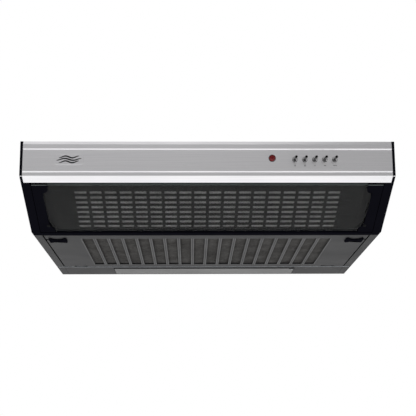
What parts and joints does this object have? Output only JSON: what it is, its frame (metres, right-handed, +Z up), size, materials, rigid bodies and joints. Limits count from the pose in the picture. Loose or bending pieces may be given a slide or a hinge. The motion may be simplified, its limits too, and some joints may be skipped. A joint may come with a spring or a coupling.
{
  "type": "under cabinet range hood",
  "caption": "Slim under cabinet range hood with a brushed fascia, push buttons, tilting smoked glass visor, slotted intake grille and drop-down filter panel.",
  "frame": {"origin": "centre of the four cabinet screw holes, on the top face", "axes": "+Z up, +X along the width to the right as the user sees it; the fascia faces -Y and the back panel faces +Y"},
  "size_m": [0.6, 0.5174, 0.1559],
  "materials": {
    "grey_paint": "satin",
    "black_moulding": "satin",
    "brushed_aluminium": "satin",
    "badge_metal": "polished",
    "red_lens": "gloss",
    "bright_trim": "polished",
    "button_black": "gloss",
    "smoked_glass": "gloss",
    "dark_steel": "satin",
    "filter_mesh": "satin",
    "zinc_steel": "satin",
    "housing_plastic": "matte",
    "motor_steel": "satin",
    "rubber_black": "matte",
    "frosted_cover": "satin",
    "lamp_glass": "gloss",
    "white_plastic": "satin",
    "wire_jacket": "satin"
  },
  "bodies": {
    "hood": {"canopy_top": "grey_paint", "back_panel": "grey_paint", "side_panel_left": "grey_paint", "side_panel_right": "grey_paint", "front_rail": "black_moulding", "cheek_left": "black_moulding", "cheek_right": "black_moulding", "end_cap_left": "black_moulding", "end_cap_right": "black_moulding", "fascia_panel": "brushed_aluminium", "badge_plate": "badge_metal", "indicator_lamp": "red_lens", "button_bezels": "bright_trim", "switch_block": "housing_plastic", "switch_bracket": "zinc_steel", "visor_pins": "bright_trim", "intake_grille": "dark_steel", "grille_filter": "filter_mesh", "panel_hinge_pins": "zinc_steel", "lamp_panel": "grey_paint", "lamp_tray": "zinc_steel", "lamp_holders": "white_plastic", "lamp_bulbs": "lamp_glass", "blower_housing_top": "housing_plastic", "blower_housing_bottom": "housing_plastic", "inlet_ring": "housing_plastic", "motor_casing": "motor_steel", "motor_stator": "motor_steel", "motor_bearings": "motor_steel", "motor_plate": "zinc_steel", "motor_bushes": "rubber_black", "capacitor": "white_plastic", "terminal_box": "white_plastic", "terminal_lid": "white_plastic", "cable_gland": "housing_plastic", "wiring": "wire_jacket", "outlet_collar": "zinc_steel", "damper_pins": "zinc_steel", "collar_screws": "zinc_steel", "blower_screws": "zinc_steel"},
    "visor": {"visor_glass": "smoked_glass", "visor_bracket_left": "black_moulding", "visor_bracket_right": "black_moulding", "visor_screws": "bright_trim"},
    "filter_door": {"filter_panel": "grey_paint", "grease_filter": "filter_mesh", "filter_retainers": "zinc_steel"},
    "left_latch": {"latch_left": "black_moulding"},
    "right_latch": {"latch_right": "black_moulding"},
    "lamp_cover": {"lamp_lens": "frosted_cover"},
    "rotor": {"impeller": "housing_plastic", "motor_rotor": "motor_steel", "motor_shaft": "motor_steel"},
    "left_flap": {"damper_flap_left": "zinc_steel"},
    "right_flap": {"damper_flap_right": "zinc_steel"},
    "light_switch": {"light_button": "button_black"},
    "stop_switch": {"stop_button": "button_black"},
    "low_speed_switch": {"low_speed_button": "button_black"},
    "mid_speed_switch": {"mid_speed_button": "button_black"},
    "high_speed_switch": {"high_speed_button": "button_black"}
  },
  "joints": [
    {"name": "visor_tilt", "type": "hinge", "parent": "hood", "child": "visor", "pos_m": [0, -0.11918, -0.11206], "axis": [1, 0, 0], "range_deg": [0, 35]},
    {"name": "filter_door_swing", "type": "hinge", "parent": "hood", "child": "filter_door", "pos_m": [0, 0.1665, -0.1144], "axis": [1, 0, 0], "range_deg": [0, 80]},
    {"name": "left_latch_slide", "type": "slide", "parent": "filter_door", "child": "left_latch", "axis": [1, 0, 0], "range_m": [0, 0.006], "stiffness_N_per_m": 150},
    {"name": "right_latch_slide", "type": "slide", "parent": "filter_door", "child": "right_latch", "axis": [-1, 0, 0], "range_m": [0, 0.006], "stiffness_N_per_m": 150},
    {"name": "lamp_cover_swing", "type": "hinge", "parent": "hood", "child": "lamp_cover", "pos_m": [0, 0.2438, -0.1146], "axis": [1, 0, 0], "range_deg": [0, 75]},
    {"name": "impeller_spin", "type": "hinge", "parent": "hood", "child": "rotor", "pos_m": [-0.11, -0.02, -0.045], "axis": [0, 0, 1], "continuous": true},
    {"name": "left_flap_swing", "type": "hinge", "parent": "hood", "child": "left_flap", "pos_m": [-0.003, 0.127, 0.012], "axis": [0, 1, 0], "range_deg": [0, 80]},
    {"name": "right_flap_swing", "type": "hinge", "parent": "hood", "child": "right_flap", "pos_m": [0.003, 0.127, 0.012], "axis": [0, -1, 0], "range_deg": [0, 80]},
    {"name": "light_button_press", "type": "slide", "parent": "hood", "child": "light_switch", "axis": [0, 0.9962, 0.0872], "range_m": [0, 0.0045], "stiffness_N_per_m": 350},
    {"name": "stop_button_press", "type": "slide", "parent": "hood", "child": "stop_switch", "axis": [0, 0.9962, 0.0872], "range_m": [0, 0.0045], "stiffness_N_per_m": 350},
    {"name": "low_speed_button_press", "type": "slide", "parent": "hood", "child": "low_speed_switch", "axis": [0, 0.9962, 0.0872], "range_m": [0, 0.0045], "stiffness_N_per_m": 350},
    {"name": "mid_speed_button_press", "type": "slide", "parent": "hood", "child": "mid_speed_switch", "axis": [0, 0.9962, 0.0872], "range_m": [0, 0.0045], "stiffness_N_per_m": 350},
    {"name": "high_speed_button_press", "type": "slide", "parent": "hood", "child": "high_speed_switch", "axis": [0, 0.9962, 0.0872], "range_m": [0, 0.0045], "stiffness_N_per_m": 350}
  ]
}
